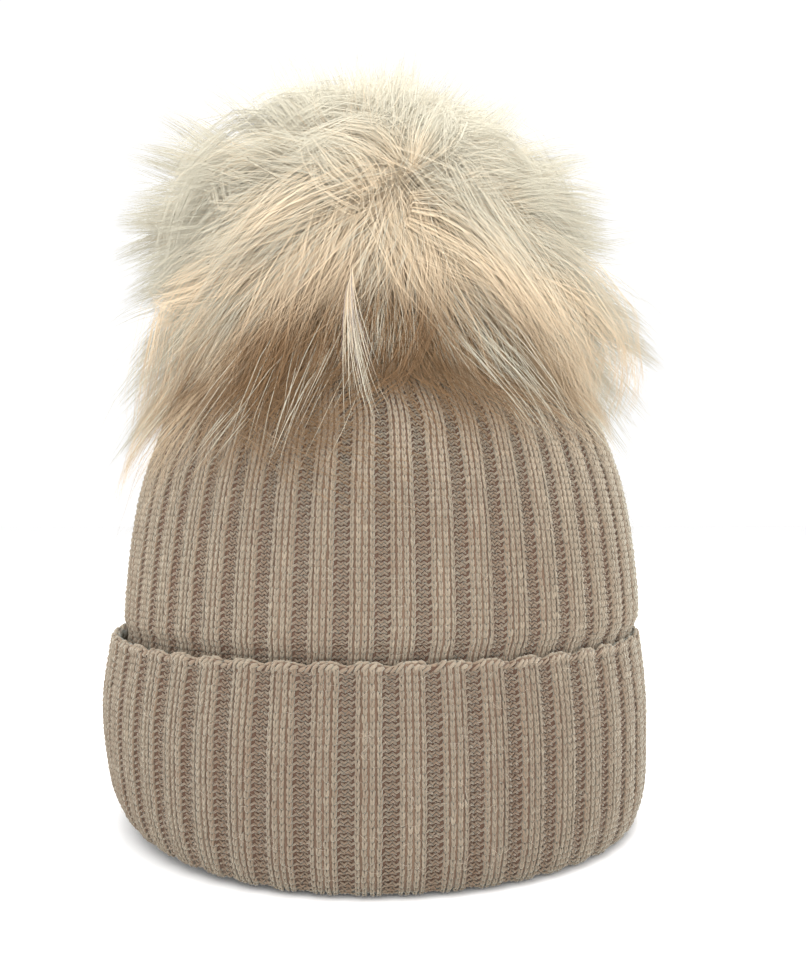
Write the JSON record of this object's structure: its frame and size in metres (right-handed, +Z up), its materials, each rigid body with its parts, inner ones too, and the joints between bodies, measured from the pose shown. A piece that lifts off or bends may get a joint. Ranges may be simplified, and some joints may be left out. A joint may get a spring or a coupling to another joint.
{
  "type": "pom pom beanie",
  "caption": "Rib-knit beanie with a turned-up cuff and a large removable fur pom pom on a sewn-on snap.",
  "frame": {"origin": "on the hat's vertical axis, on the surface that the fold of the cuff stands on", "axes": "+Z up the hat's axis towards the pom pom, -Y towards the front, +Y towards the back seam, +X to the right seen from the front"},
  "size_m": [0.188, 0.188, 0.258],
  "materials": {
    "rib_knit": "matte",
    "cuff_knit": "matte",
    "seam_yarn": "matte",
    "label_satin": "satin",
    "sewing_thread": "satin",
    "felt": "matte",
    "nickel": "satin",
    "base_leather": "matte",
    "pelt_leather": "matte",
    "stuffing": "matte",
    "fur": "matte"
  },
  "bodies": {
    "hat": {"knit_crown": "rib_knit", "back_seam_yarn": "seam_yarn", "crown_gather_yarn": "seam_yarn", "care_label": "label_satin", "label_stitches": "sewing_thread", "snap_patch": "felt", "snap_stud": "nickel", "stud_stitches": "sewing_thread"},
    "cuff": {"knit_cuff": "cuff_knit"},
    "snap_ring": {"snap_spring": "nickel"},
    "pom_base": {"snap_socket": "nickel", "socket_stitches": "sewing_thread", "pom_base_disc": "base_leather"},
    "pom": {"pom_pelt": "pelt_leather", "pom_tie_yarn": "seam_yarn", "pom_core": "stuffing", "pom_fur": "fur"}
  },
  "joints": [
    {"name": "cuff_turn_down", "type": "slide", "parent": "hat", "child": "cuff", "axis": [0, 0, -1], "range_m": [0, 0.055]},
    {"name": "pom_unsnap", "type": "slide", "parent": "hat", "child": "snap_ring", "axis": [0, 0, 1], "range_m": [0, 0.08]},
    {"name": "pom_swivel", "type": "hinge", "parent": "snap_ring", "child": "pom_base", "pos_m": [0, 0, 0.1569], "axis": [0, 0, 1], "continuous": true},
    {"name": "pom_lean", "type": "hinge", "parent": "pom_base", "child": "pom", "pos_m": [0, 0, 0.162], "axis": [0, 1, 0], "range_deg": [-6, 6], "stiffness_Nm_per_rad": 0.1}
  ]
}
